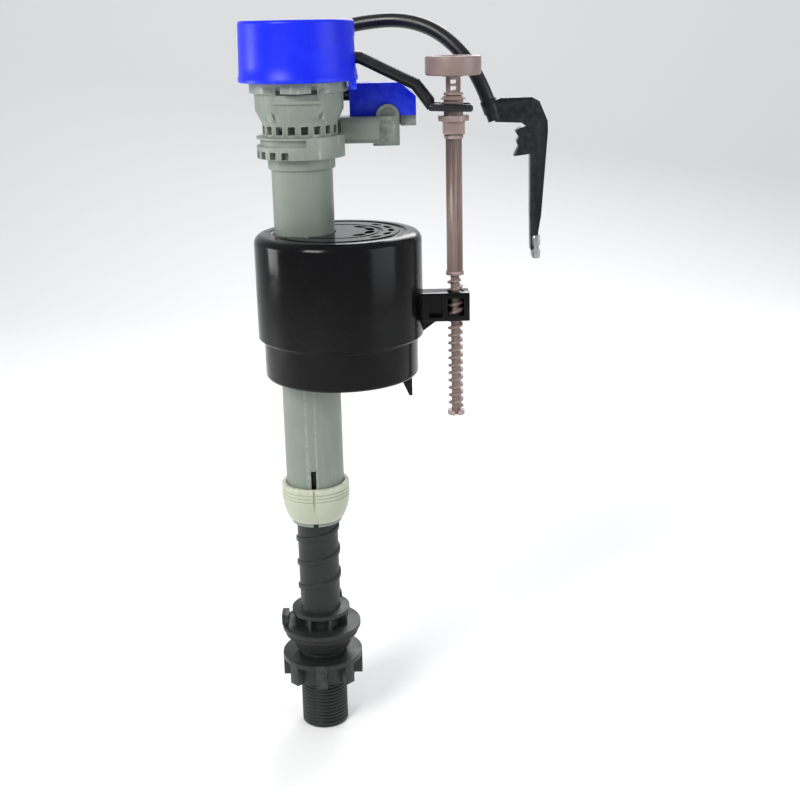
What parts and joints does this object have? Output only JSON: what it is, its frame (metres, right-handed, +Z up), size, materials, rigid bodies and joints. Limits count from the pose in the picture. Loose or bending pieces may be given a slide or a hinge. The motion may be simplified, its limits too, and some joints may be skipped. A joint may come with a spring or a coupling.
{
  "type": "toilet fill valve",
  "caption": "Float-cup toilet fill valve with telescoping shank, side lever, screw-adjusted float and refill tube.",
  "frame": {"origin": "on the shank's axis at the underside of the flange that seats in the tank's floor", "axes": "+Z up along the shank, +X towards the adjusting rod and the overflow elbow, +Y to the back of the valve"},
  "size_m": [0.1355, 0.0898, 0.3321],
  "materials": {
    "base_plastic": "moulded dark grey acetal, satin",
    "seal_rubber": "soft black rubber",
    "nut_plastic": "moulded dark grey plastic, satin",
    "body_plastic": "moulded greenish grey plastic, satin",
    "inner_plastic": "moulded grey plastic",
    "blue_plastic": "moulded bright blue plastic, soft gloss",
    "pin_steel": "stainless steel",
    "black_vinyl": "flexible black vinyl, soft gloss",
    "black_plastic": "moulded black plastic, soft gloss",
    "ring_plastic": "slightly translucent pale plastic",
    "rod_plastic": "slightly translucent brownish plastic",
    "float_plastic": "polished black plastic",
    "roller_plastic": "moulded grey plastic"
  },
  "bodies": {
    "base": {"shank": "base_plastic", "riser_seal": "seal_rubber", "shank_washer": "seal_rubber", "mounting_nut": "nut_plastic"},
    "valve_body": {"outer_tube": "body_plastic", "valve_head": "body_plastic", "riser_tube": "body_plastic", "valve_seat": "body_plastic", "diaphragm": "seal_rubber", "seal_retainer": "inner_plastic", "cap": "blue_plastic", "lever_pin": "pin_steel", "take_off_ring": "body_plastic", "roller_clamp": "blue_plastic", "clamp_barb": "inner_plastic", "refill_tube": "black_vinyl", "overflow_elbow": "black_plastic", "elbow_clip": "pin_steel"},
    "lock_ring": {"lock_ring": "ring_plastic"},
    "lever": {"lever": "black_plastic"},
    "plunger": {"plunger": "inner_plastic"},
    "rod_bushing": {"rod_bushing": "rod_plastic"},
    "adjust_rod": {"adjust_rod": "rod_plastic", "rod_stop": "rod_plastic"},
    "float": {"float_cup": "float_plastic", "float_base": "float_plastic"},
    "clamp_roller": {"clamp_roller": "roller_plastic"}
  },
  "joints": [
    {"name": "height_adjust", "type": "slide", "parent": "base", "child": "valve_body", "axis": [0, 0, 1], "range_m": [-0.042, 0.076]},
    {"name": "lock_ring_lift", "type": "slide", "parent": "valve_body", "child": "lock_ring", "axis": [0, 0, 1], "range_m": [0, 0.008]},
    {"name": "lever_swing", "type": "hinge", "parent": "valve_body", "child": "lever", "pos_m": [0.012, 0, 0.265], "axis": [0, -1, 0], "range_deg": [0, 10]},
    {"name": "plunger_press", "type": "slide", "parent": "valve_body", "child": "plunger", "axis": [0, 0, 1], "range_m": [-0.0026, 0]},
    {"name": "bushing_rise", "type": "slide", "parent": "valve_body", "child": "rod_bushing", "axis": [0, 0, 1], "range_m": [0, 0.0094]},
    {"name": "rod_turn", "type": "hinge", "parent": "rod_bushing", "child": "adjust_rod", "pos_m": [0.066, 0, 0.2], "axis": [0, 0, 1], "range_deg": [-3600, 630]},
    {"name": "float_climb", "type": "slide", "parent": "rod_bushing", "child": "float", "axis": [0, 0, 1], "range_m": [-0.0349, 0.006]},
    {"name": "roller_slide", "type": "slide", "parent": "valve_body", "child": "clamp_roller", "axis": [-1, 0, 0], "range_m": [0, 0.009]}
  ],
  "couplings": [
    {"joint": "lever_swing", "follows": "bushing_rise", "rad_per_m": 18.518},
    {"joint": "plunger_press", "follows": "bushing_rise", "ratio": -0.259},
    {"joint": "rod_turn", "follows": "float_climb", "rad_per_m": 1795.2}
  ]
}
